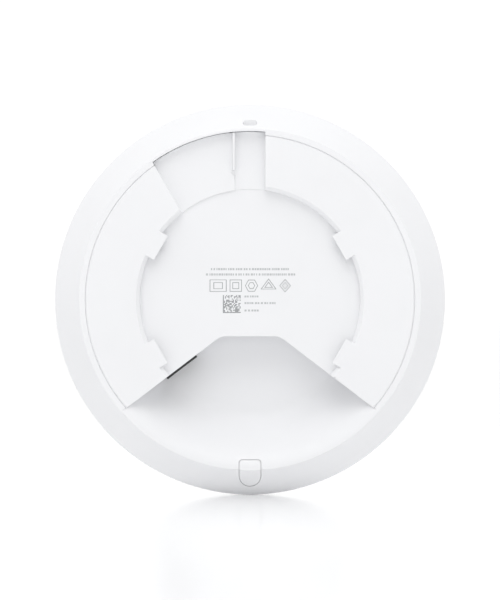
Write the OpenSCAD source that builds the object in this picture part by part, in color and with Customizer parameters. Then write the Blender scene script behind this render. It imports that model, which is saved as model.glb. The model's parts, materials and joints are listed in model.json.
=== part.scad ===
// Ceiling access point with a twist-lock back, a cable bay and a domed front.
// The shapes are drawn face on, with the mounting face in the XY plane at z = 0, +Y towards the top of
// the unit and +Z out of the mounting face. upright() then stands them up: +Z is the top of the unit,
// -Y points out of the mounting face and the dome faces +Y. The origin is the centre of the mounting face.

/* [Overall] */
// Diameter of the widest circle, at the rim
body_d = 206; // [200:1:212]
// Depth from the mounting face to the middle of the dome
body_h = 46; // [45:0.5:52]
// Depth of the rim below the mounting face
rim_z = 14.6; // [13.6:0.2:15.6]
// Fullness of the dome: 2 is an ellipse, more is boxier
dome_power = 2.5; // [2.3:0.1:2.8]
// Thickness of the dome
dome_wall = 2.4; // [2:0.1:2.6]
// Thickness of the housing and mounting plate
wall = 2; // [1.6:0.1:2.2]

/* [Lip and mounting ring] */
// Diameter where the flat lip turns into the chamfer
lip_d = 180; // [178:1:182]
// Diameter of the opening that the mounting plate sits in
seat_d = 173.6; // [173:0.2:174]
// Width of the shadow groove between plate and housing
seam = 0.6; // [0.4:0.1:1]
// Depth of the shadow groove
seam_z = 0.35; // [0.2:0.05:0.8]

/* [Twist lock] */
// Diameter of the round recess
recess_d = 116.2; // [114:0.2:117]
// Depth of the recess
recess_z = 5.5; // [5.3:0.1:6]
// Width of the sloping band around the recess
recess_bevel = 1.9; // [1:0.1:2.5]
// Width of a lock tab
tab_w = 14.6; // [12:0.2:16]
// Distance of a tab's straight edge from the centre
tab_reach = 54.2; // [53:0.2:56]
// Depth of the locking channel
channel_z = 5.2; // [5:0.1:5.3]
// Depth of the entry sector beside it
sector_z = 4.6; // [4.3:0.1:4.9]
// Left edge of the channel
channel_left = -7.9; // [-8.5:0.1:-7.5]
// Right edge of the channel
channel_right = 8.1; // [7.5:0.1:8.5]
// Radius at which channel and sector end
channel_r = 88.7; // [88.4:0.1:88.9]
// Turn of the sector's far edge
sector_turn = 30; // [20:1:32]

/* [Cable bay] */
// Depth of the bay's flat floor
bay_z = 23; // [22.8:0.1:23.4]
// Height of the bay's top wall below the centre
bay_top = 19.4; // [18.5:0.1:20]
// Half of the bay's width where its slanted walls start
bay_half = 15.5; // [14.5:0.1:16]
// Slope of the slanted walls
bay_slope = 37.3; // [36:0.1:38.5]
// Radius of the rounded corners
bay_round = 9; // [6:0.5:12]
// Radius at which the floor starts to rise to the lip
ramp_start = 58; // [56:1:60]

/* [Cable exit plug] */
// Width of the plug
plug_w = 11.3; // [10:0.1:13]
// Upper edge of the plug, from the centre
plug_top = 84.5; // [83:0.1:86]
// Lower end of the plug, from the centre
plug_end = 98.4; // [96:0.1:99]
// Gap around the plug
plug_gap = 0.2; // [0.15:0.05:0.4]
// Radius of the plug's upper corners
plug_round = 1.5; // [0.5:0.1:2.5]
// Thickness of the plug
plug_t = 1.8; // [1.4:0.1:2]
// Width of the ledge that it sits on
plug_ledge = 0.8; // [0.6:0.1:1]

/* [Release slot] */
// Width of the slot in the chamfer
slot_w = 7.5; // [6:0.1:9]
// Height of the slot
slot_h = 3.1; // [2:0.1:3.6]
// Depth of the slot's middle below the mounting face
slot_z = 3.4; // [3.2:0.1:3.4]

/* [Network port] */
// Distance of the port's middle from the bay's corner, along the left wall
port_along = 26.2; // [24:0.2:28]
// Width of the black frame
port_frame_w = 19.5; // [18.5:0.1:21]
// How far the frame stands into the bay
port_frame_proud = 1.2; // [0.6:0.1:1.2]
// Width of the jack
jack_w = 16; // [15.6:0.1:16.4]
// Height of the jack
jack_h = 13; // [12.6:0.1:13]
// Depth of the jack
jack_depth = 21.4; // [20:0.2:22]

/* [Reset button] */
// Distance of the button from the bay's corner, along the right wall
reset_along = 36.5; // [34:0.2:38]
// Diameter of the button
reset_d = 2.4; // [2:0.1:2.6]
// Travel of the button
reset_travel = 0.5; // [0.3:0.1:0.6]

/* [Status light] */
// Outer diameter of the light ring
light_d = 44; // [40:1:50]
// Width of the light ring
light_w = 2.4; // [1.6:0.1:3]

/* [Electronics] */
// Diameter of the main board
board_d = 160; // [156:1:162]
// Thickness of the main board
board_t = 1.6; // [1.2:0.1:1.8]
// Depth of the main board's mounting side
board_z = 21.3; // [21.3:0.1:21.5]
// Depth of the antenna plate's near side
antenna_plate_z = 28.5; // [28:0.1:29]
// Diameter of the antenna plate
antenna_plate_d = 152; // [148:1:154]
// Height of the antennas
antenna_h = 8; // [6:0.5:8.5]

/* [Hidden] */
$fn = 96;
E = 0.01;                      // overshoot of a cut
FAR = 130;                     // beyond the object

WHITE = "white";
SILVER = "silver";
BLACK = [0.12, 0.12, 0.13];
BOARD_GREEN = [0.10, 0.35, 0.22];
GOLD = [0.85, 0.68, 0.30];

// Rim and shells
body_r = body_d / 2;
lip_r = lip_d / 2;
seat_r = seat_d / 2;
plate_r = seat_r - seam;
plate_fit = 0.05;              // gap between the plate's flange and its seat
rim_bevel = 0.7;               // small edge break where chamfer meets rim
shell_outer_r = 92.4;          // outer face of the upright wall behind the lip
ledge_z = 7.4;                 // top of the ledge that carries the plate
ledge_r = 78;                  // inner edge of that ledge
tongue_r = 100.2;              // outer face of the tongue inside the dome's rim
tongue_z = 18;                 // end of the tongue
tongue_t = 2;
shadow_line = 0.3;             // open joint line between housing and dome
chamfer_run = body_r - rim_bevel - lip_r;
chamfer_drop = rim_z - 2 * rim_bevel;
chamfer_len = norm([chamfer_run, chamfer_drop]);
inner_shift = wall * chamfer_len / chamfer_run;    // drop of the chamfer's inner face
dome_h = body_h - rim_z;
inner_dome = [body_r - dome_wall, dome_h - dome_wall];
hook_count = 8;
hook_reach = 0.7;
hook_sweep = 8;
hook_t = 1;
hook_up = 0.6;                 // height of the hooks above the tongue's end
hook_play = 0.1;               // room above and below a hook in the dome's groove

// Bay
wall_back = 0.2;               // the housing's bay wall stands this far behind the plate's edge
ramp_end = lip_r - 0.2;
ramp_steps = 20;
crest_r = [82, 88];            // top stretch of the ramp, between the plate's cut edges
plug_leg = 8;                  // reach of the plug's legs below the mounting face
leg_size = [1.2, 4];
leg_up = 6;                    // height of the legs above the plug's lower end
leg_gap = 0.7;                 // between a leg and the side of the way through

// Plate details
recess_r = recess_d / 2;
lock_tab_angles = [30, 150, 210, 330];
skirt_t = 2;
rib_w = 1.3;
rib_top = 87.9;
rib_foot = 67.8;
rib_z = 0.9;                   // depth of the rib's top
pip_d = 2.6;                   // shallow round dimple at the rib's foot
pip_z = 0.35;
pip_below = 0.9;               // distance of its middle below the foot
button_notch_d = 1.2;          // groove that leads from the plate's edge down to the reset button
posts = [[-50, 52], [50, 52], [-72, -18], [72, -18], [0, -8]];
post_d = 7;
post_bore = 11;
boss_d = 6;                    // bosses for the plate screws
boss_bore = 4.4;
stack_screw_d = 2.8;
stack_bore_d = 3;
plate_screw_angles = [-25, 15, 55, 135, 165, 205];
plate_screw_r = 82.6;
plate_screw_d = 2.2;
screw_clear = 0.4;

// Stack of boards, as depths below the mounting face
board_back = board_z + board_t;
shield_h = 3;
spacer_d = 6;
antenna_plate_t = 1;
antenna_back = antenna_plate_z + antenna_plate_t;

// Port, as depths below the mounting face and sizes of the jack's cavity
port_z = [22.2, 7.7];          // lower and upper edges of the port's frame
jack_proud = 1.3;              // how far the jack stands into the bay
jack_sheet = 0.3;
cavity_size = [11.9, 13, 6.8];
cavity_up = 3.2;               // height of the cavity above the jack's floor
key_w = 6.2;                   // groove for the plug's latch
key_h = 1.8;
contact_pitch = 1.02;
contact_t = 0.4;
contact_len = 7;

// Reset button, as distances from the bay wall
reset_z = board_z - 2.4;       // depth of the button's axis
button_start = 0.8;
button_len = 4;
switch_face = 6.2;
stem_d = 1.4;
stem_in = 1;                   // reach of the stem into the switch at rest

// Light, as depths below the mounting face
light_r = light_d / 2;
flange_z = [41.2, 42.4];
flange_r = [light_r - 7, light_r + 6];
shroud_z = [36, 37.2];
light_board_t = 1;
light_board_r = [10, flange_r[1] - 1.6];
led_count = 8;
led_size = [1.6, 1.6, 0.7];
ribbon_w = 6;
ribbon_t = 0.3;
ribbon_y = 5;

// Heat spreader: middle of each pedestal, its size and the height of the chip under it
spreader_box = [[-4, 4], [47, 46]];
spreader_z = [8.5, 12.5];
processor_at = [12, 25];
processor_size = [17, 17, 2];
memory_at = [[34, 33], [34, 17]];
memory_size = [12, 9, 1.2];
pad_t = 1;
spreader_feet = [[0, 12], [43, 8], [0, 42], [42, 42]];
foot_d = 6;
spreader_screw_d = 2;

// Radios on the dome side: middle of each shield can
radio_at = [[-26, 26], [22, 26], [-34, -3]];
can_size = [26, 22];
antenna_angles = [0, 60, 120, 180, 240, 300];
antenna_ring = 62;
lead_d = 1.2;
lead_z = 26.9;                 // depth at which the leads run between board and antenna plate
connector_h = 1.3;

// ---------- shared shapes ----------

module upright() {
    rotate([90, 0, 0]) children();
}

// Extrudes 2D children from depth `low` up to depth `high`, both counted below the mounting face
module slab(low, high) {
    translate([0, 0, -low]) linear_extrude(low - high) children();
}

module ring_2d(inner, outer) {
    difference() {
        circle(outer);
        circle(inner);
    }
}

// Box that stands on the main board's mounting side (side = 1) or hangs from its dome side (side = -1)
module chip(at, size, side = 1, turn = 0) {
    base = side > 0 ? board_z : board_back + size[2];
    translate([at[0], at[1], -base]) rotate([0, 0, turn])
        translate([-size[0] / 2, -size[1] / 2, 0]) cube(size);
}

// Puts children at a point `along` a bay wall, with +Y into the housing. Left wall: side = -1
module at_wall(along, side) {
    translate([side * (bay_half + along * cos(bay_slope)), -bay_top - along * sin(bay_slope), 0])
        rotate([0, 0, -side * bay_slope]) children();
}

// Outline of the bay, moved outwards by `grow`
module bay_2d(grow = 0) {
    centre = [bay_half - bay_round * tan(bay_slope / 2), -bay_top - bay_round];
    arc = [for (i = [0 : 6])
        let (a = 90 - bay_slope * i / 6)
        centre + (bay_round + grow) * [cos(a), sin(a)]];
    end = arc[6] + FAR * [cos(bay_slope), -sin(bay_slope)];
    right = concat(arc, [end, [end[0], -2 * FAR]]);
    left = [for (i = [len(right) - 1 : -1 : 0]) [-right[i][0], right[i][1]]];
    polygon(concat(right, left));
}

// Height of the bay's floor: flat in the middle, then a smooth rise to the lip
function ramp_depth(r) =
    bay_z / 2 * (1 + cos(180 * (r - ramp_start) / (ramp_end - ramp_start)));
ramp = [for (i = [0 : ramp_steps])
    let (r = ramp_start + (ramp_end - ramp_start) * i / ramp_steps)
    [r, -ramp_depth(r)]];

// The bay's open space above its floor
module bay_space() {
    intersection() {
        rotate_extrude() polygon(concat([[0, 1], [0, -bay_z]], ramp, [[FAR, 0], [FAR, 1]]));
        slab(bay_z + 1, -1) bay_2d(wall_back);
    }
}

// Wedge that holds the channel and the entry sector, from x = `left` of the channel's side walls
module lock_zone_2d(grow = 0) {
    intersection() {
        rotate([0, 0, sector_turn]) translate([channel_left - 0.4 - grow, 0]) square(FAR);
        translate([channel_right + grow - FAR, 0]) square(FAR);
    }
}

module channel_2d() {
    translate([channel_left, 0]) square([channel_right - channel_left, FAR]);
}

// Outline of the cable exit plug, moved outwards by `grow`
module plug_2d(grow = 0) {
    half = plug_w / 2 + grow;
    round_at = plug_end + grow - half;
    corner = plug_round + grow;
    shoulder = plug_top - grow + corner;
    translate([-half, -round_at]) square([2 * half, round_at - shoulder]);
    translate([corner - half, -shoulder]) square([2 * (half - corner), corner]);
    for (side = [-1, 1]) translate([side * (half - corner), -shoulder]) circle(corner);
    translate([0, -round_at]) circle(half);
}

// Band that follows the bay's floor, the lip and the chamfer, from `over` above them to `depth` below
module skin(depth, over = 0) {
    top = concat(
        [for (p = ramp) if (p[0] > plug_top - 4) p],
        [[lip_r, 0], [lip_r + chamfer_run, -chamfer_drop]]);
    bottom = [for (i = [len(top) - 1 : -1 : 0]) top[i] - [0, depth]];
    rotate_extrude() polygon(concat([for (p = top) p + [0, over]], bottom));
}

// Chamfered outer ring: lip, chamfer, rim, tongue and the upright wall behind the lip
function inner_chamfer(r) = -inner_shift - (r - lip_r) * chamfer_drop / chamfer_run;

module ring_profile() {
    tongue_in = tongue_r - tongue_t;
    polygon([
        [seat_r, 0], [lip_r, 0], [lip_r + chamfer_run, -chamfer_drop],
        [body_r, -chamfer_drop - rim_bevel], [body_r, -rim_z], [tongue_r, -rim_z],
        [tongue_r, -tongue_z], [tongue_in, -tongue_z], [tongue_in, inner_chamfer(tongue_in)],
        [shell_outer_r, inner_chamfer(shell_outer_r)], [shell_outer_r, -ledge_z - wall],
        [ledge_r, -ledge_z - wall], [ledge_r, -ledge_z], [seat_r, -ledge_z]
    ]);
}

// Superellipse curve of the dome for a given radius and height, from the rim to the axis
function dome_curve(r, h, steps = 22) = [for (i = [steps : -1 : 0])
    let (a = 90 * i / steps)
    [r * pow(sin(a), 2 / dome_power), -rim_z - h * pow(cos(a), 2 / dome_power)]];

module dome_solid() {
    rotate_extrude() polygon(concat([[0, -rim_z]], dome_curve(body_r, dome_h)));
}

module dome_hollow() {
    rotate_extrude() polygon(concat([[0, -rim_z + 1], [inner_dome[0], -rim_z + 1]],
        dome_curve(inner_dome[0], inner_dome[1])));
}

// Screw with a flat round head; the head's face is at depth `head` and the shaft rises from it
module screw(head, length, d) {
    head_h = 0.6 * d;
    translate([0, 0, -head]) cylinder(d = d, h = length);
    difference() {
        translate([0, 0, -head - head_h]) cylinder(d = 2 * d, h = head_h);
        translate([0, 0, -head - head_h - E]) cylinder(d = d, h = head_h / 2, $fn = 6);
    }
}

// Thin wire through a list of points
module wire(points, d) {
    for (i = [0 : len(points) - 2]) {
        step = points[i + 1] - points[i];
        flat = norm([step[0], step[1]]);
        translate(points[i]) rotate([0, atan2(flat, step[2]), atan2(step[1], step[0])])
            cylinder(d = d, h = norm(step) + d / 4, $fn = 8);
    }
}

// ---------- housing ----------

module back_housing() color(WHITE) upright() difference() {
    union() {
        rotate_extrude() ring_profile();
        for (i = [0 : hook_count - 1])
            rotate([0, 0, i * 360 / hook_count]) rotate_extrude(angle = hook_sweep)
                translate([tongue_r - E, hook_up - tongue_z]) square([hook_reach, hook_t]);
        // Walls and floor of the cable bay
        intersection() {
            slab(bay_z + wall, wall + 0.2) bay_2d(wall_back + wall);
            rotate_extrude() polygon(concat([[0, 0], [0, -bay_z - wall]],
                [for (p = ramp) [p[0] + wall / 2, p[1] - wall]],
                [[ramp_end + wall / 2, 0]]));
        }
        // Top of the ramp, which runs up into the lip between the plate's cut edges
        slab(wall + 0.6, 0) intersection() {
            ring_2d(crest_r[0], crest_r[1]);
            bay_2d(-plate_fit);
        }
    }
    bay_space();
    // Room for the disc of the mounting plate above the bay's walls
    slab(recess_z + wall + 0.2, 0) circle(recess_r + 2.3);
    // Outer wall of the channel and the entry sector, with a notch through the ledge behind them
    slab(ledge_z + wall + 1, -1) intersection() {
        circle(channel_r);
        lock_zone_2d();
    }
    // Release slot
    translate([0, channel_r - 2, -slot_z]) rotate([-90, 0, 0]) linear_extrude(10) {
        square([slot_w - slot_h, slot_h], center = true);
        for (side = [-1, 1]) translate([side * (slot_w - slot_h) / 2, 0]) circle(d = slot_h);
    }
    // Seat of the cable exit plug, and the smaller way through behind it
    intersection() {
        skin(plug_t + plug_gap, 1);
        slab(FAR, -FAR) plug_2d(plug_gap);
    }
    slab(FAR, -FAR) plug_2d(-plug_ledge);
    // Opening for the port's frame, and the guide bore of the reset button
    at_wall(port_along, -1) translate([-port_frame_w / 2 - 0.1, -1, -port_z[0]])
        cube([port_frame_w + 0.2, 5, port_z[0] - port_z[1]]);
    at_wall(reset_along, 1) translate([0, -1, -reset_z]) rotate([-90, 0, 0])
        cylinder(d = reset_d + 0.6, h = 5);
    // Groove down to the reset button
    at_wall(reset_along, 1) translate([0, 0, -reset_z]) cylinder(d = button_notch_d, h = reset_z + 1);
    // Plate screws
    for (a = plate_screw_angles)
        rotate([0, 0, a]) translate([plate_screw_r, 0, -ledge_z - wall - 1])
            cylinder(d = plate_screw_d + screw_clear, h = wall + 2);
}

module mount_plate() color(WHITE) upright() difference() {
    union() {
        // Flat ring, with the sloping band around the recess
        difference() {
            union() {
                slab(wall, 0) plate_2d(plate_r);
                slab(wall, seam_z) plate_2d(seat_r - plate_fit);
            }
            rotate_extrude() polygon([[0, E], [recess_r + recess_bevel + E, E],
                [recess_r, -recess_bevel], [recess_r, -wall - 1], [0, -wall - 1]]);
        }
        // Upright wall of the recess
        difference() {
            slab(recess_z + wall, recess_bevel) ring_2d(recess_r, recess_r + wall);
            slab(FAR, -FAR) bay_2d();
            slab(sector_z, -1) lock_zone_2d();
        }
        // Floors: disc, entry sector and channel
        slab(recess_z + wall, recess_z) difference() {
            circle(recess_r + 0.5);
            bay_2d();
        }
        slab(sector_z + wall, sector_z) lock_floor_2d();
        slab(channel_z + wall, channel_z) intersection() {
            lock_floor_2d();
            channel_2d();
        }
        // Side walls of channel and sector
        slab(ledge_z, wall - E) intersection() {
            ring_2d(recess_r, plate_r);
            difference() {
                lock_zone_2d(wall);
                lock_zone_2d(-E);
            }
        }
        // Lock tabs
        for (a = lock_tab_angles)
            slab(wall, 0) rotate([0, 0, a]) translate([tab_reach, -tab_w / 2])
                square([recess_r + recess_bevel + 1 - tab_reach, tab_w]);
        // Skirt that rests on the housing's ledge
        slab(ledge_z, wall - E) difference() {
            ring_2d(plate_r - skirt_t, plate_r);
            bay_2d(wall + 1);
            lock_zone_2d();
        }
        slab(ledge_z, channel_z) intersection() {
            ring_2d(plate_r - skirt_t, plate_r);
            lock_zone_2d();
        }
        // Rib on the channel's left edge
        slab(sector_z + E, rib_z) translate([channel_left - rib_w, rib_foot])
            square([rib_w, rib_top - rib_foot]);
        // Posts that carry the boards, and bosses for the plate screws
        for (p = posts)
            slab(board_z, norm(p) > recess_r ? wall - E : recess_z + wall - E)
                translate(p) circle(d = post_d);
        for (a = plate_screw_angles)
            slab(ledge_z, wall - E) rotate([0, 0, a]) translate([plate_screw_r, 0])
                circle(d = boss_d);
    }
    // Channel floor lies lower than the sector's
    slab(channel_z, -1) intersection() {
        ring_2d(recess_r, FAR);
        channel_2d();
    }
    // Dimple at the rib's foot
    translate([channel_left - rib_w / 2, rib_foot - pip_below, -sector_z - pip_z])
        cylinder(d = pip_d, h = sector_z);
    // Screw holes in posts and bosses
    for (p = posts)
        translate([p[0], p[1], -board_z - E]) cylinder(d = stack_bore_d, h = post_bore);
    for (a = plate_screw_angles)
        rotate([0, 0, a]) translate([plate_screw_r, 0, -ledge_z - E])
            cylinder(d = plate_screw_d + 0.1, h = boss_bore);
    // Notch in the plate's edge above the reset button
    at_wall(reset_along, 1) translate([0, 0, -wall - 1]) cylinder(d = button_notch_d, h = wall + 2);
}

// Outline of the plate's flat ring, before the recess is cut
module plate_2d(r) {
    difference() {
        circle(r);
        bay_2d();
        lock_zone_2d();
    }
}

module lock_floor_2d() {
    difference() {
        intersection() {
            circle(channel_r - 0.2);
            lock_zone_2d();
        }
        circle(recess_r);
    }
}

// U-shaped plug, flush with the lip and the chamfer, with two legs that grip the sides of its opening
module cable_exit_plug() color(WHITE) upright() {
    intersection() {
        skin(plug_t);
        slab(FAR, -FAR) plug_2d();
    }
    intersection() {
        for (side = [-1, 1])
            translate([side * (plug_w / 2 - plug_ledge - leg_gap) - (side + 1) / 2 * leg_size[0],
                leg_up - plug_end, -plug_leg]) cube(concat(leg_size, plug_leg));
        skin(FAR);
    }
}

// ---------- network port ----------

module port_frame() color(BLACK) upright() at_wall(port_along, -1)
    translate([0, -port_frame_proud, 0]) rotate([-90, 0, 0]) linear_extrude(3.6) difference() {
        translate([-port_frame_w / 2, port_z[1]]) square([port_frame_w, port_z[0] - port_z[1]]);
        translate([-jack_w / 2 - 0.1, board_z - jack_h - 0.1]) square([jack_w + 0.2, jack_h + 0.2]);
    }

module ethernet_jack_shell() color(SILVER) upright() at_wall(port_along, -1)
    translate([-jack_w / 2, -jack_proud, -board_z]) difference() {
        cube([jack_w, jack_depth, jack_h]);
        translate([jack_sheet, -E, jack_sheet])
            cube([jack_w - 2 * jack_sheet, jack_depth - jack_sheet + E, jack_h - 2 * jack_sheet]);
    }

module ethernet_jack_body() color(BLACK) upright() at_wall(port_along, -1)
    translate([-jack_w / 2 + jack_sheet, -jack_proud + 0.2, -board_z + jack_sheet]) {
        inner_w = jack_w - 2 * jack_sheet;
        inner_h = jack_h - 2 * jack_sheet;
        difference() {
            cube([inner_w, jack_depth - jack_sheet - 0.2, inner_h]);
            translate([(inner_w - cavity_size[0]) / 2, -E, cavity_up]) cube(cavity_size);
            translate([(inner_w - key_w) / 2, -E, cavity_up - key_h])
                cube([key_w, cavity_size[1], key_h + 1]);
        }
    }

// Eight slanted springs in the roof of the cavity
module ethernet_contacts() color(GOLD) upright() at_wall(port_along, -1)
    for (i = [0 : 7]) {
        drop = 1.9;
        roof = -board_z + jack_sheet + cavity_up + cavity_size[2];
        translate([(i - 3.5) * contact_pitch - contact_t / 2, 2, roof - drop]) union() {
            cube([contact_t, contact_t, drop]);
            cube([contact_t, contact_len, contact_t]);
        }
    }

module ethernet_magnetics() color(BLACK) upright() at_wall(port_along, -1)
    translate([-8, jack_depth + 2.5, -board_z]) cube([16, 13, 6]);

// ---------- reset button ----------

module reset_button() color(WHITE) upright() at_wall(reset_along, 1)
    translate([0, button_start, -reset_z]) rotate([-90, 0, 0]) {
        cylinder(d = reset_d, h = button_len);
        translate([0, 0, wall + 0.2]) cylinder(d = reset_d + 1.6, h = 1);
    }

module reset_switch_stem() color(BLACK) upright() at_wall(reset_along, 1)
    translate([0, button_start + button_len, -reset_z]) rotate([-90, 0, 0])
        cylinder(d = stem_d, h = switch_face + stem_in - button_start - button_len);

module reset_switch() color(SILVER) upright() at_wall(reset_along, 1) difference() {
    translate([-3, switch_face, -board_z]) cube([6, 3.6, 4]);
    translate([0, switch_face - E, -reset_z]) rotate([-90, 0, 0])
        cylinder(d = stem_d + 0.7, h = E + stem_in + reset_travel + 0.5);
}

// ---------- front ----------

module front_dome() color(WHITE) upright() difference() {
    union() {
        difference() {
            dome_solid();
            dome_hollow();
        }
        intersection() {
            slab(body_h, flange_z[1]) ring_2d(light_r, flange_r[1]);
            dome_solid();
        }
    }
    slab(body_h + 1, rim_z) circle(light_r + 0.2);
    // Open joint line at the rim, and the groove that the housing's hooks snap into
    slab(rim_z + shadow_line, rim_z - 1) ring_2d(body_r - 1.4, FAR);
    slab(tongue_z - hook_up + hook_play, tongue_z - hook_up - hook_t - hook_play)
        circle(tongue_r + hook_reach + 0.2);
}

module front_cap() color(WHITE) upright() intersection() {
    dome_solid();
    difference() {
        slab(body_h, flange_z[1]) circle(light_r - light_w - 0.2);
        slab(body_h - dome_wall, flange_z[1] - 1) circle(flange_r[0] + 1);
    }
}

module status_light_ring() color([0.92, 0.95, 1]) upright() {
    slab(flange_z[1], flange_z[0]) ring_2d(flange_r[0], flange_r[1]);
    slab(body_h - 0.2, flange_z[1]) ring_2d(light_r - light_w, light_r);
}

module light_shroud() color(WHITE) upright() {
    slab(shroud_z[1], shroud_z[0]) ring_2d(8, flange_r[1]);
    slab(flange_z[0], shroud_z[1]) ring_2d(flange_r[1] - 1.4, flange_r[1]);
}

module light_board() color(BOARD_GREEN) upright()
    slab(shroud_z[1] + light_board_t, shroud_z[1]) ring_2d(light_board_r[0], light_board_r[1]);

module status_leds() color("lightyellow") upright()
    for (i = [0 : led_count - 1])
        rotate([0, 0, 360 * i / led_count])
            translate([light_r - light_w / 2, 0, -shroud_z[1] - light_board_t]
                - [led_size[0] / 2, led_size[1] / 2, led_size[2]]) cube(led_size);

module light_ribbon() color("darkorange") upright() {
    top = shroud_z[1] + light_board_t;
    translate([-ribbon_w / 2, ribbon_y, -top - ribbon_t])
        cube([ribbon_w, light_board_r[0] + 2 - ribbon_y, ribbon_t]);
    translate([-ribbon_w / 2, ribbon_y, -top - ribbon_t])
        cube([ribbon_w, ribbon_t, top + ribbon_t - board_back - 1.5]);
}

module light_connector() color("ivory") upright() chip([0, ribbon_y], [9, 4, 1.5], -1);

// ---------- boards ----------

module main_board() color(BOARD_GREEN) upright() difference() {
    slab(board_back, board_z) difference() {
        circle(d = board_d);
        bay_2d(wall_back + wall + 0.8);
    }
    for (p = concat(posts, spreader_feet))
        translate([p[0], p[1], -board_back - 1]) cylinder(d = stack_bore_d + 0.2, h = board_t + 2);
}

module poe_transformer() color([0.75, 0.62, 0.25]) upright() {
    chip([-60, 16], [20, 17, 3]);
    chip([-60, 16], [14, 15, 10]);
    chip([-60, 16], [20, 9, 11]);
}

module rectifiers() color(BLACK) upright()
    for (y = [-2, 36]) chip([-68, y], [8, 6.5, 2.6]);

module capacitors() color([0.2, 0.22, 0.3]) upright()
    for (p = [[-40, 58], [-30, 62], [-20, 66]])
        translate([p[0], p[1], -board_z]) cylinder(d = 8, h = 10.5);

module power_inductors() color([0.3, 0.3, 0.32]) upright()
    for (p = [[-40, 32], [-40, 16], [-22, 46]]) chip(p, [12, 12, 6]);

module network_chip() color(BLACK) upright() chip([-22, 2], [9, 9, 1]);

module processor() color(BLACK) upright() chip(processor_at, processor_size);

module memory_chips() color(BLACK) upright()
    for (p = memory_at) chip(p, memory_size);

module flash_chip() color(BLACK) upright() chip([14, 56], [8, 6, 0.9]);

module crystals() color(SILVER) upright()
    for (p = [[-8, 18], [-22, 14], [52, 20]]) chip(p, [3.2, 2.5, 0.8]);

// ---------- cooling ----------

function chip_top(size) = board_z - size[2] - pad_t;

module heat_spreader() color("gainsboro") upright() difference() {
    union() {
        slab(spreader_z[1], spreader_z[0]) translate(spreader_box[0])
            square(spreader_box[1] - spreader_box[0]);
        pedestal(processor_at, processor_size);
        for (p = memory_at) pedestal(p, memory_size);
        for (p = spreader_feet) slab(board_z, spreader_z[1] - E) translate(p) circle(d = foot_d);
    }
    for (p = spreader_feet)
        translate([p[0], p[1], -board_z - E]) cylinder(d = spreader_screw_d + 0.1, h = 6);
}

module pedestal(at, size) {
    slab(chip_top(size), spreader_z[1] - E) translate(at) square([size[0], size[1]], center = true);
}

module thermal_pads() color("lightpink") upright() {
    thermal_pad(processor_at, processor_size);
    for (p = memory_at) thermal_pad(p, memory_size);
}

module thermal_pad(at, size) {
    slab(chip_top(size) + pad_t, chip_top(size)) translate(at)
        square([size[0] - 1, size[1] - 1], center = true);
}

module plate_pad() color("lightpink") upright()
    slab(spreader_z[0], recess_z + wall) translate(spreader_box[0] + [3, 3])
        square(spreader_box[1] - spreader_box[0] - [6, 6]);

module spreader_screws() color(SILVER) upright()
    for (p = spreader_feet) translate(p) screw(board_back, board_t + 5, spreader_screw_d);

// ---------- radios and antennas ----------

module radio_chips() color(BLACK) upright()
    for (p = radio_at) chip(p, [9, 9, 1], -1);

module amplifier_chips() color(BLACK) upright()
    for (p = radio_at, dx = [-8, 8]) chip(p + [dx, 6], [3, 3, 0.8], -1);

module radio_shields() color(SILVER) upright()
    for (p = radio_at) difference() {
        chip(p, concat(can_size, shield_h), -1);
        translate([0, 0, 0.3]) chip(p, concat(can_size - [0.6, 0.6], shield_h), -1);
    }

module antenna_plate() color("gainsboro") upright() difference() {
    slab(antenna_back, antenna_plate_z) circle(d = antenna_plate_d);
    for (p = posts)
        translate([p[0], p[1], -antenna_back - 1]) cylinder(d = stack_bore_d + 0.2, h = 4);
    for (a = antenna_angles)
        rotate([0, 0, a]) translate([antenna_ring - 6, 0, -antenna_back - 1]) cylinder(d = 4, h = 4);
    translate([-5, 1, -antenna_back - 1]) cube([10, 8, 4]);
}

module spacers() color(SILVER) upright()
    for (p = posts) slab(antenna_plate_z, board_back) translate(p) difference() {
        circle(d = spacer_d);
        circle(d = stack_bore_d + 0.2);
    }

module stack_screws() color(SILVER) upright()
    for (p = posts) translate(p) screw(antenna_back, antenna_back - board_z + 9, stack_screw_d);

module plate_screws() color(SILVER) upright()
    for (a = plate_screw_angles)
        rotate([0, 0, a]) translate([plate_screw_r, 0])
            screw(ledge_z + wall, wall + 4, plate_screw_d);

// Stamped antenna in the tangential plane: foot, ground leg, feed leg and arm
module antenna(arm) {
    t = 0.5;
    leg = 2;
    translate([antenna_ring, -arm / 2, -antenna_back]) rotate([180, 0, 0]) mirror([0, 1, 0]) {
        cube([5, 6, t]);
        cube([t, leg, antenna_h]);
        translate([0, 4, 0]) cube([t, leg, antenna_h]);
        translate([0, 0, antenna_h - 3]) cube([t, arm, 3]);
    }
}

module antenna_pair(first, arm) {
    for (i = [first, first + 3]) rotate([0, 0, antenna_angles[i]]) antenna(arm);
}

module low_band_antennas() color(SILVER) upright() antenna_pair(0, 26);

module mid_band_antennas() color(SILVER) upright() antenna_pair(1, 18);

module high_band_antennas() color(SILVER) upright() antenna_pair(2, 13);

// The two lower antennas sit under the bay, so their leads start at the board's lower edge
function connector_at(a) = a < 200 ? 50 * [cos(a), sin(a)] : [sign(cos(a)) * 17, -11];

module antenna_connectors() color(GOLD) upright()
    for (a = antenna_angles) let (p = connector_at(a))
        translate([p[0], p[1], -board_back - connector_h]) cylinder(d = 3, h = connector_h);

module antenna_leads() color([0.25, 0.25, 0.27]) upright()
    for (a = antenna_angles) {
        start = connector_at(a);
        out = [cos(a), sin(a)];
        hole = (antenna_ring - 6) * out;
        feed = (antenna_ring - 0.6) * out;
        wire([
            [start[0], start[1], -board_back - connector_h], [start[0], start[1], -lead_z],
            [hole[0], hole[1], -lead_z], [hole[0], hole[1], -antenna_back - 2],
            [feed[0], feed[1], -antenna_back - 4]
        ], lead_d);
    }

module short_range_antenna() color("ivory") upright() chip([0, 74], [8, 2.5, 1.2], -1);

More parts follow.
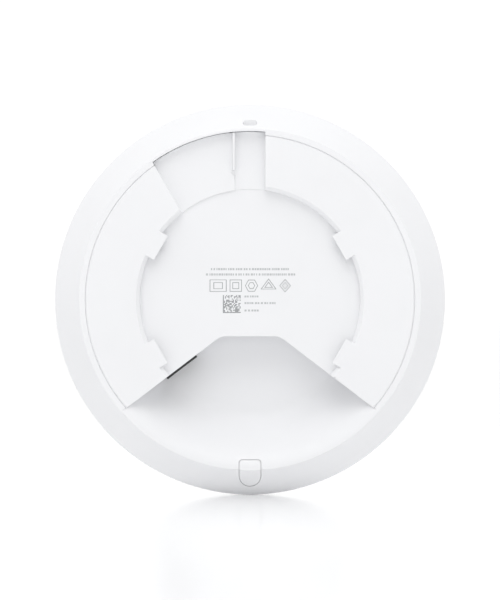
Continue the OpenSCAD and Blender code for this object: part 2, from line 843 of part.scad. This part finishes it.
back_housing();
mount_plate();
cable_exit_plug();
port_frame();
ethernet_jack_shell();
ethernet_jack_body();
ethernet_contacts();
reset_button();
reset_switch();
reset_switch_stem();
front_dome();
front_cap();
status_light_ring();
light_shroud();
light_board();
status_leds();
light_ribbon();
light_connector();
ethernet_magnetics();
network_chip();
main_board();
poe_transformer();
rectifiers();
capacitors();
power_inductors();
processor();
memory_chips();
flash_chip();
crystals();
heat_spreader();
thermal_pads();
plate_pad();
spreader_screws();
radio_chips();
amplifier_chips();
radio_shields();
antenna_plate();
spacers();
stack_screws();
plate_screws();
low_band_antennas();
mid_band_antennas();
high_band_antennas();
antenna_leads();
antenna_connectors();
short_range_antenna();
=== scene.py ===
"""Looks of a ceiling access point that stands on its rim with its mounting side towards the camera.

Everything is in metres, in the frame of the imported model: x to the right, -y out of the mounting face,
z towards the top of the unit, origin at the centre of the mounting face.
"""

import json
import math
import random

import bmesh
import bpy
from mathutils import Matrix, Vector
from mathutils.bvhtree import BVHTree

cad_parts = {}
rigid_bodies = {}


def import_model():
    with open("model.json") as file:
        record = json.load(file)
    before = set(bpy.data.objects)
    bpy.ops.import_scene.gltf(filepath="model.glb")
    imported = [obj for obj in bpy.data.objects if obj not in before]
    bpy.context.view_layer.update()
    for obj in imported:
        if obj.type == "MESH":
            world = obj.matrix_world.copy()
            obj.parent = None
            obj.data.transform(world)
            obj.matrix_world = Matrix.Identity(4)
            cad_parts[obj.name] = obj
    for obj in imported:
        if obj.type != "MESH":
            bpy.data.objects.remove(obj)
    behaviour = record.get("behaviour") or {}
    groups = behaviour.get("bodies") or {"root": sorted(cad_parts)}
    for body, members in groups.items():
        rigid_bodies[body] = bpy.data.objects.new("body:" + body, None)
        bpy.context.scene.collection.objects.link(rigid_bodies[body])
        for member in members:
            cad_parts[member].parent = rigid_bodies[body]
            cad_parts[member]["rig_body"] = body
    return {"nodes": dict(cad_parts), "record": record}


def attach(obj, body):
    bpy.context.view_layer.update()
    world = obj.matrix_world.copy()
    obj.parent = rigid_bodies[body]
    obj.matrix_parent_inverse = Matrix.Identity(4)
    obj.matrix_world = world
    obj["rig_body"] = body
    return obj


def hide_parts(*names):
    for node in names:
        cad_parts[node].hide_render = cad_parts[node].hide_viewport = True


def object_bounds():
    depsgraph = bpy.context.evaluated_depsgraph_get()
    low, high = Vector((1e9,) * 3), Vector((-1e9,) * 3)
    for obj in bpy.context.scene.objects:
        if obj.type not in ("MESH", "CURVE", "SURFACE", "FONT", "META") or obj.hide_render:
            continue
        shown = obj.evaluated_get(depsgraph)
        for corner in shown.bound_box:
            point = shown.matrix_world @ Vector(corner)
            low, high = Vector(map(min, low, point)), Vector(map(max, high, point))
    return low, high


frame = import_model()
cad_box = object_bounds()

MM = 0.001
ROOT = "access_point"              # the body that carries everything but the moving pieces


def link(obj):
    bpy.context.scene.collection.objects.link(obj)
    return obj


# ---------- camera ----------

VIEW_DISTANCE = 4.0            # a long lens from far away, so the rim looks like a true circle
VIEW_HEIGHT = 0.3169           # height of the picture where the object stands
VIEW_LEVEL = -0.26 * MM        # the camera looks level, this far above the twist lock's axis
SENSOR = 36.0                  # millimetres, as the lens
RIM_DEPTH = 14.6 * MM          # the rim's distance behind the mounting face


def add_camera():
    data = bpy.data.cameras.new("camera")
    data.sensor_width = SENSOR
    data.lens = SENSOR * VIEW_DISTANCE / VIEW_HEIGHT
    data.clip_end = 100
    camera = link(bpy.data.objects.new("camera", data))
    camera.location = (0, RIM_DEPTH - VIEW_DISTANCE, VIEW_LEVEL)
    camera.rotation_euler = (math.radians(90), 0, 0)
    bpy.context.scene.camera = camera


add_camera()

# ---------- materials ----------


class Nodes:
    """Short-hand for building one material's node tree."""

    def __init__(self, name):
        self.material = bpy.data.materials.new(name)
        self.material.use_nodes = True
        self.tree = self.material.node_tree
        self.shader = self.tree.nodes["Principled BSDF"]
        self.coordinates = self.add("ShaderNodeTexCoord").outputs["Object"]

    def add(self, kind, **settings):
        node = self.tree.nodes.new(kind)
        for key, value in settings.items():
            setattr(node, key, value)
        return node

    def link(self, source, target):
        self.tree.links.new(source, target)

    def set(self, **values):
        for key, value in values.items():
            self.shader.inputs[key.replace("_", " ")].default_value = value

    def noise(self, size, detail=3.0, stretch=(1, 1, 1)):
        """Noise whose grains are about `size` metres wide, from 0 to 1."""
        mapping = self.add("ShaderNodeMapping")
        mapping.inputs["Scale"].default_value = stretch
        self.link(self.coordinates, mapping.inputs["Vector"])
        node = self.add("ShaderNodeTexNoise")
        node.inputs["Scale"].default_value = 1 / size
        node.inputs["Detail"].default_value = detail
        self.link(mapping.outputs["Vector"], node.inputs["Vector"])
        return node.outputs["Fac"]

    def spread(self, value, low, high, start=0.3, end=0.7):
        """Maps the middle of a noise to the range from low to high."""
        node = self.add("ShaderNodeMapRange")
        for key, number in (("From Min", start), ("From Max", end), ("To Min", low), ("To Max", high)):
            node.inputs[key].default_value = number
        self.link(value, node.inputs["Value"])
        return node.outputs["Result"]

    def colours(self, value, *stops):
        """Colour ramp through evenly spaced colours."""
        node = self.add("ShaderNodeValToRGB")
        ramp = node.color_ramp
        while len(ramp.elements) < len(stops):
            ramp.elements.new(0.5)
        for i, stop in enumerate(stops):
            ramp.elements[i].position = i / (len(stops) - 1)
            ramp.elements[i].color = (*stop, 1)
        self.link(value, node.inputs["Fac"])
        return node.outputs["Color"]

    def edges(self):
        """Near 1 on convex outer edges and near 0 elsewhere: the mask for a painted edge highlight."""
        return self.spread(self.add("ShaderNodeNewGeometry").outputs["Pointiness"], 0, 1, 0.52, 0.62)

    def mix(self, factor, first, second):
        node = self.add("ShaderNodeMix", data_type="RGBA")
        self.link(factor, node.inputs["Factor"])
        for value, socket in ((first, node.inputs["A"]), (second, node.inputs["B"])):
            if isinstance(value, tuple):
                socket.default_value = (*value, 1)
            else:
                self.link(value, socket)
        return node.outputs["Result"]

    def bump(self, value, depth, below=None):
        node = self.add("ShaderNodeBump")
        node.inputs["Distance"].default_value = depth
        self.link(value, node.inputs["Height"])
        if below is not None:
            self.link(below, node.inputs["Normal"])
        return node.outputs["Normal"]

    def finish(self, colour, roughness, normal=None):
        self.link(colour, self.shader.inputs["Base Color"])
        self.link(roughness, self.shader.inputs["Roughness"])
        if normal is not None:
            self.link(normal, self.shader.inputs["Normal"])
        return self.material


def shade(colour, factor):
    return tuple(min(1.0, c * factor) for c in colour)


def moulded_plastic(name, colour, roughness, grain=0.35 * MM, depth=0.012 * MM, **settings):
    """Injection-moulded plastic: fine spark-eroded grain, faint flow mottling, and convex edges painted
    lighter as a highlight.
    """
    n = Nodes(name)
    n.set(**settings)
    flow = n.noise(38 * MM, 2)
    grains = n.noise(grain, 4)
    tone = n.colours(flow, shade(colour, 0.975), colour, shade(colour, 1.012))
    # painted highlight: convex edges a little lighter in colour
    tone = n.mix(n.edges(), tone, shade(colour, 1.03))
    rough = n.spread(n.noise(6 * MM, 4), roughness * 0.88, roughness * 1.12)
    fine = n.bump(grains, depth)
    return n.finish(tone, rough, n.bump(flow, 0.05 * MM, fine))


def translucent_plastic(name, colour, roughness):
    """Milky light guide or lens under a smoother skin."""
    n = Nodes(name)
    n.set(Coat_Weight=0.6, Coat_Roughness=0.1, IOR=1.49)
    tone = n.colours(n.noise(9 * MM, 2), shade(colour, 0.96), colour)
    rough = n.spread(n.noise(2 * MM, 3), roughness * 0.8, roughness * 1.2)
    return n.finish(tone, rough, n.bump(n.noise(0.25 * MM, 3), 0.006 * MM))


def sheet_metal(name, colour, roughness, stretch=(1, 1, 12)):
    """Rolled sheet: long streaks in one direction, and a painted highlight that makes the edges brighter.
    """
    n = Nodes(name)
    n.set(Metallic=1.0)
    streaks = n.noise(1.6 * MM, 5, stretch)
    tone = n.colours(streaks, shade(colour, 0.82), colour, shade(colour, 1.1))
    # painted highlight: convex edges brighter in colour
    tone = n.mix(n.edges(), tone, shade(colour, 1.2))
    rough = n.spread(streaks, roughness * 0.7, roughness * 1.35)
    return n.finish(tone, rough, n.bump(streaks, 0.008 * MM))


def turned_metal(name, colour, roughness):
    """Small plated fasteners and contacts: fine pits and a patchy sheen."""
    n = Nodes(name)
    n.set(Metallic=1.0)
    pits = n.noise(0.3 * MM, 4)
    tone = n.colours(n.noise(2.4 * MM, 3), shade(colour, 0.85), colour, shade(colour, 1.08))
    return n.finish(tone, n.spread(pits, roughness * 0.75, roughness * 1.3), n.bump(pits, 0.006 * MM))


def circuit_board(name, mask, copper):
    """Solder mask over tracks: the tracks show as lighter lines that run square to each other."""
    n = Nodes(name)
    n.set(Coat_Weight=0.25, Coat_Roughness=0.2)
    cells = n.add("ShaderNodeTexBrick", offset=0.5, squash=0.6, squash_frequency=3)
    turned = n.add("ShaderNodeMapping")
    turned.inputs["Rotation"].default_value = (math.radians(90), 0, 0)
    n.link(n.coordinates, turned.inputs["Vector"])
    n.link(turned.outputs["Vector"], cells.inputs["Vector"])
    cells.inputs["Scale"].default_value = 1 / (6 * MM)
    cells.inputs["Mortar Size"].default_value = 0.035
    cells.inputs["Mortar Smooth"].default_value = 0.3
    tracks = cells.outputs["Fac"]
    tone = n.colours(n.noise(14 * MM, 3), shade(mask, 0.85), mask, shade(mask, 1.15))
    tone = n.mix(tracks, tone, copper)
    rough = n.spread(n.noise(1.2 * MM, 3), 0.32, 0.5)
    return n.finish(tone, rough, n.bump(tracks, 0.03 * MM))


def moulded_epoxy(name, colour):
    """Chip packages: matt black compound with a coarse sparkle."""
    n = Nodes(name)
    grains = n.noise(0.18 * MM, 5)
    tone = n.colours(grains, shade(colour, 0.6), colour, shade(colour, 1.7))
    return n.finish(tone, n.spread(grains, 0.55, 0.8), n.bump(grains, 0.01 * MM))


def soft_pad(name, colour):
    """Silicone heat pad: dull, with tiny dimples."""
    n = Nodes(name)
    n.set(Subsurface_Weight=0.15, Subsurface_Scale=0.5 * MM)
    dimples = n.add("ShaderNodeTexVoronoi")
    dimples.inputs["Scale"].default_value = 1 / (0.7 * MM)
    n.link(n.coordinates, dimples.inputs["Vector"])
    pits = dimples.outputs["Distance"]
    tone = n.colours(n.noise(5 * MM, 3), shade(colour, 0.9), colour, shade(colour, 1.05))
    return n.finish(tone, n.spread(pits, 0.7, 0.95, 0, 1), n.bump(pits, 0.05 * MM))


WAVE_PERIOD = 0.31             # distance between a wave texture's bands at scale 1


def wrapped_film(name, colour, roughness, period, depth):
    """Sleeves, tape, cable jackets and winding: regular fine ridges over a slightly uneven colour."""
    n = Nodes(name)
    wave = n.add("ShaderNodeTexWave", bands_direction="Z")
    wave.inputs["Scale"].default_value = WAVE_PERIOD / period
    wave.inputs["Distortion"].default_value = 0.6
    n.link(n.coordinates, wave.inputs["Vector"])
    ridges = wave.outputs["Fac"]
    tone = n.colours(ridges, shade(colour, 0.88), colour)
    tone = n.mix(n.spread(n.noise(4 * MM, 3), 0, 0.5), tone, shade(colour, 1.2))
    rough = n.spread(n.noise(0.8 * MM, 3), roughness * 0.8, roughness * 1.25)
    return n.finish(tone, rough, n.bump(ridges, depth))


def printed_ink(name, colour):
    """Pad-printed ink: thin, slightly uneven cover."""
    n = Nodes(name)
    cover = n.noise(0.5 * MM, 4)
    tone = n.colours(cover, shade(colour, 0.85), colour, shade(colour, 1.2))
    return n.finish(tone, n.spread(cover, 0.45, 0.65), n.bump(cover, 0.004 * MM))


def studio_floor(name):
    """Matt white table under a clear coat with a faint soft reflection, lit a little from behind."""
    n = Nodes(name)
    n.set(Specular_IOR_Level=0.0, Coat_Weight=1.0, Coat_Roughness=0.11,
          Emission_Color=(1, 1, 1, 1), Emission_Strength=0.048)
    tone = n.colours(n.noise(0.4, 2), (0.955, 0.957, 0.96), (0.965, 0.967, 0.97))
    return n.finish(tone, n.spread(n.noise(0.05, 3), 0.85, 0.95))


WHITE = (0.82, 0.824, 0.839)
FINISHES = {
    "housing_white": moulded_plastic("housing_white", WHITE, 0.5),
    "dome_white": moulded_plastic("dome_white", WHITE, 0.42, 0.5 * MM, 0.008 * MM),
    "light_guide": translucent_plastic("light_guide", (0.86, 0.88, 0.9), 0.25),
    "black_plastic": moulded_plastic("black_plastic", (0.02, 0.02, 0.022), 0.45),
    "chip_black": moulded_epoxy("chip_black", (0.025, 0.025, 0.028)),
    "jack_steel": sheet_metal("jack_steel", (0.72, 0.72, 0.71), 0.28),
    "contact_gold": turned_metal("contact_gold", (0.85, 0.62, 0.25), 0.22),
    "board_green": circuit_board("board_green", (0.02, 0.13, 0.07), (0.06, 0.26, 0.13)),
    "screw_steel": turned_metal("screw_steel", (0.62, 0.62, 0.6), 0.3),
    "aluminium": sheet_metal("aluminium", (0.78, 0.78, 0.79), 0.36, (1, 1, 9)),
    "shield_tin": sheet_metal("shield_tin", (0.7, 0.7, 0.67), 0.32, (9, 1, 1)),
    "thermal_pad": soft_pad("thermal_pad", (0.55, 0.36, 0.42)),
    "capacitor_sleeve": wrapped_film("capacitor_sleeve", (0.03, 0.035, 0.06), 0.35, 1.5 * MM, 0.01 * MM),
    "inductor_grey": moulded_plastic("inductor_grey", (0.06, 0.06, 0.065), 0.6, 0.25 * MM, 0.03 * MM),
    "winding_tape": wrapped_film("winding_tape", (0.55, 0.38, 0.05), 0.3, 3 * MM, 0.04 * MM),
    "antenna_tin": sheet_metal("antenna_tin", (0.74, 0.73, 0.7), 0.26, (1, 9, 1)),
    "lead_sheath": wrapped_film("lead_sheath", (0.04, 0.04, 0.045), 0.4, 0.5 * MM, 0.01 * MM),
    "ribbon_film": wrapped_film("ribbon_film", (0.4, 0.16, 0.03), 0.3, 0.5 * MM, 0.02 * MM),
    "led_lens": translucent_plastic("led_lens", (0.9, 0.85, 0.55), 0.15),
    "ceramic": moulded_plastic("ceramic", (0.72, 0.7, 0.64), 0.55, 0.15 * MM, 0.006 * MM),
    "switch_metal": sheet_metal("switch_metal", (0.66, 0.66, 0.65), 0.3),
}
DARK_INK = printed_ink("dark_ink", (0.28, 0.29, 0.3))
GREY_INK = printed_ink("grey_ink", (0.5, 0.51, 0.52))
slot_of = {part["node"]: part["material_slot"] for part in frame["record"]["subparts"]}

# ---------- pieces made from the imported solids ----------

WELD = 0.002 * MM              # points closer than this are one point
FLAT = math.radians(0.4)       # faces that turn less than this are one face
CREASE = math.radians(28)      # edges that turn more than this are rounded
SHARP = math.radians(50)       # edges that still turn more than this are shaded sharp
ROUND_STEP = math.radians(5)   # longest step of a tessellated circle around the y axis
SHORTEST_STEP = 0.2 * MM
SMALLEST_RADIUS = 20 * MM      # smaller circles are fine enough as packed

# Solids that keep their packed triangles: merged, their large faces would shade unevenly
KEEP_TRIANGLES = ("back_housing", "mount_plate", "front_dome")

# Shells that can be seen, each with the width of its edge rounds in millimetres
SHELLS = {
    "back_housing": 0.22,
    "mount_plate": 0.16,
    "cable_exit_plug": 0.12,
    "port_frame": 0.15,
    "front_dome": 0.1,
    "front_cap": 0.15,
    "status_light_ring": 0.12,
    "ethernet_jack_shell": 0.08,
    "ethernet_jack_body": 0.1,
}


def mesh_object(name, bm, material):
    """Turns a bmesh into an object with one material."""
    mesh = bpy.data.meshes.new(name)
    bm.to_mesh(mesh)
    bm.free()
    mesh.materials.append(material)
    return link(bpy.data.objects.new(name, mesh))


def shade_round(obj):
    """Smooth shading that leaves flat faces flat."""
    obj.data.shade_smooth()
    obj.data.set_sharp_from_angle(angle=SHARP)
    weights = obj.modifiers.new("weighted_normals", "WEIGHTED_NORMAL")
    weights.keep_sharp = True


def on_circle(edge):
    """Whether an edge is a step of a circle around the y axis."""
    a, b = (v.co for v in edge.verts)
    radius = math.hypot(a.x, a.z)
    level = abs(a.y - b.y) < WELD and abs(radius - math.hypot(b.x, b.z)) < WELD
    step = (a - b).length
    return level and radius > SMALLEST_RADIUS and SHORTEST_STEP < step < radius * ROUND_STEP


def grid_key(point):
    """Names a point by its place on a grid, to find it again."""
    return tuple(round(c / WELD) for c in point)


def round_circles(bm):
    """Halves the steps of every circle around the y axis, with the new points on the true circle."""
    chords = [e for e in bm.edges if on_circle(e)]
    target = {}
    for edge in chords:
        a, b = (v.co for v in edge.verts)
        target[grid_key((a + b) / 2)] = math.hypot(a.x, a.z)
    bmesh.ops.subdivide_edges(bm, edges=chords, cuts=1, use_grid_fill=True)
    for v in bm.verts:
        radius = target.get(grid_key(v.co))
        if radius:
            scale = radius / math.hypot(v.co.x, v.co.z)
            v.co.x *= scale
            v.co.z *= scale


def add_shell(node, rounding):
    """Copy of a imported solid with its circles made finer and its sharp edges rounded."""
    bm = bmesh.new()
    bm.from_mesh(frame["nodes"][node].data)
    bmesh.ops.remove_doubles(bm, verts=bm.verts, dist=WELD)
    if node not in KEEP_TRIANGLES:
        bmesh.ops.dissolve_limit(bm, angle_limit=FLAT, verts=bm.verts, edges=bm.edges)
        round_circles(bm)
    surface = BVHTree.FromBMesh(bm)
    box = [(min(values), max(values)) for values in zip(*(v.co for v in bm.verts))]
    sharp = [e for e in bm.edges if e.is_manifold and e.calc_face_angle() > CREASE]
    bmesh.ops.bevel(bm, geom=sharp, offset=rounding, offset_type="OFFSET", segments=2, profile=0.5,
                    affect="EDGES", clamp_overlap=False)
    # A point that an acute corner throws out goes back to the solid's surface, and into its box
    for v in bm.verts:
        nearest, _, _, distance = surface.find_nearest(v.co)
        if distance > rounding / 2:
            v.co = nearest
        v.co = [min(max(c, low), high) for c, (low, high) in zip(v.co, box)]
    piece = mesh_object(node + "_shell", bm, FINISHES[slot_of[node]])
    shade_round(piece)
    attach(piece, frame["nodes"][node]["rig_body"])
    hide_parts(node)


for node, rounding in SHELLS.items():
    add_shell(node, rounding * MM)
for name, obj in frame["nodes"].items():
    obj.data.materials.clear()
    obj.data.materials.append(FINISHES[slot_of[name]])

# ---------- print on the recess floor ----------

RECESS_DEPTH = 5.5 * MM
INK_HEIGHT = 0.03 * MM
DASH_WIDTH = (0.5, 1.15)       # shortest and longest dash, in millimetres
DASH_GAP = 0.32
WORD_GAP = 0.75
WORD_ENDS = 0.2                # share of the dashes that end a word
SHORTEST_REST = 0.4            # a shorter rest of a row stays empty
INNER_MARK = 0.55              # size of the copy inside each mark


def add_prism(bm, outline):
    """Thin plate on the recess floor with an outline of (x, z) points."""
    face = bm.faces.new([bm.verts.new((x, RECESS_DEPTH, z)) for x, z in outline])
    for part in bmesh.ops.extrude_face_region(bm, geom=[face])["geom"]:
        if isinstance(part, bmesh.types.BMVert):
            part.co.y -= INK_HEIGHT


def add_bar(bm, x, z, width, height):
    """Rectangle from x to the right, with its middle at z."""
    add_prism(bm, [(x, z - height / 2), (x + width, z - height / 2),
                   (x + width, z + height / 2), (x, z + height / 2)])


def add_outline(bm, centre, size, sides, turn, line):
    """Polygon with its corners on an ellipse, drawn as a line of the given width, stroke by stroke."""
    def corner(i, radius):
        a = turn + math.tau * i / sides
        return centre[0] + size[0] * radius * math.cos(a), centre[1] + size[1] * radius * math.sin(a)

    inner = 1 - 2 * line / (size[0] + size[1]) / math.cos(math.pi / sides)
    for i in range(sides):
        add_prism(bm, [corner(i, inner), corner(i, 1), corner(i + 1, 1), corner(i + 1, inner)])


def add_dashes(bm, left, right, z, height, dice):
    """A row of short bars between two ends, with word-like lengths."""
    x = left
    while x < right - SHORTEST_REST * MM:
        width = min(dice.uniform(*DASH_WIDTH) * MM, right - x)
        add_bar(bm, x, z, width, height)
        x += width + (WORD_GAP if dice.random() < WORD_ENDS else DASH_GAP) * MM


def finish_print(name, bm, ink):
    """Turns what was drawn into a piece that rides on the unit."""
    bmesh.ops.recalc_face_normals(bm, faces=bm.faces)
    piece = mesh_object(name, bm, ink)
    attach(piece, ROOT)


def print_rows():
    """Two long rows above the marks and three short ones beside the grid."""
    bm = bmesh.new()
    dice = random.Random(4)
    # Each row: left end, right end, height of its middle, height of its bars
    rows = [(-20.6, 20.6, 16.0, 1.1), (-23.2, 23.8, 13.2, 1.1),
            (-2.9, 4.6, 1.6, 1.0), (-2.9, 14.3, -1.9, 1.0), (-2.9, 4.8, -5.8, 1.0)]
    for left, right, z, height in rows:
        add_dashes(bm, left * MM, right * MM, z * MM, height * MM, dice)
    finish_print("print_rows", bm, GREY_INK)


def print_marks():
    """A row of plain outlines, each with a smaller copy inside."""
    bm = bmesh.new()
    line = 0.3 * MM
    z = 7.3 * MM
    # Each mark: middle, half axes of the ellipse through its corners, sides and turn of its first corner
    marks = [(-16.8, 6.3, 4.5, 4, 45), (-7.5, 4.5, 4.5, 4, 45), (0.8, 3.4, 3.6, 6, 0),
             (9.8, 4.8, 3.8, 3, 90), (18.5, 3.0, 3.5, 4, 0)]
    for x, wide, high, sides, turn in marks:
        for scale in (1, INNER_MARK):
            size = (scale * wide * MM, scale * high * MM)
            add_outline(bm, (x * MM, z), size, sides, math.radians(turn), line)
    finish_print("print_marks", bm, DARK_INK)


def print_matrix():
    """Square grid of random cells, with full rows of cells on its left and lower sides."""
    bm = bmesh.new()
    dice = random.Random(11)
    cells = 16
    cell = 9.4 * MM / cells
    ink = 0.92 * cell
    left, low = -14.3 * MM, -7.1 * MM
    for row in range(cells):
        for column in range(cells):
            if row == 0 or column == 0 or dice.random() < 0.5:
                add_bar(bm, left + column * cell, low + (row + 0.5) * cell, ink, ink)
    finish_print("print_matrix", bm, DARK_INK)


print_rows()
print_marks()
print_matrix()

# ---------- studio ----------

FLOOR_REACH = 30               # so far away that its edge lies close to the horizon


def add_floor():
    bm = bmesh.new()
    bmesh.ops.create_grid(bm, x_segments=8, y_segments=8, size=FLOOR_REACH)
    floor = mesh_object("floor", bm, studio_floor("floor_white"))
    floor.location.z = cad_box[0][2]


def add_world():
    """White surround, a little brighter overhead and dimmer on the side that the mounting face looks at."""
    world = bpy.data.worlds.new("studio")
    bpy.context.scene.world = world
    world.use_nodes = True
    nodes, links = world.node_tree.nodes, world.node_tree.links
    direction = nodes.new("ShaderNodeTexCoord")
    split = nodes.new("ShaderNodeSeparateXYZ")
    links.new(direction.outputs["Generated"], split.inputs["Vector"])
    strength = nodes.new("ShaderNodeMath")
    strength.operation = "MULTIPLY"
    # Each gradient: axis, where it starts and ends along that axis, and its values there
    gradients = [("Z", 0, 1, 1.065, 1.09), ("Y", -0.3, 0.7, 0.78, 1)]
    for i, (axis, start, end, first, last) in enumerate(gradients):
        ramp = nodes.new("ShaderNodeMapRange")
        for key, value in (("From Min", start), ("From Max", end), ("To Min", first), ("To Max", last)):
            ramp.inputs[key].default_value = value
        links.new(split.outputs[axis], ramp.inputs["Value"])
        links.new(ramp.outputs["Result"], strength.inputs[i])
    links.new(strength.outputs["Value"], nodes["Background"].inputs["Strength"])
    nodes["Background"].inputs["Color"].default_value = (1, 1, 1, 1)


def add_soft_light(name, place, size, power):
    """Rectangular lamp that points at the origin."""
    data = bpy.data.lights.new(name, "AREA")
    data.shape = "RECTANGLE"
    data.size, data.size_y = size
    data.energy = power
    lamp = link(bpy.data.objects.new(name, data))
    lamp.location = place
    lamp.rotation_euler = (-Vector(place)).to_track_quat("-Z", "Y").to_euler()


add_floor()
add_world()
add_soft_light("key", (-0.15, -1.6, 2.5), (2.2, 2.2), 30)
add_soft_light("fill", (0, -5, 0.6), (3, 1.5), 9)
bpy.context.scene.view_settings.view_transform = "Standard"
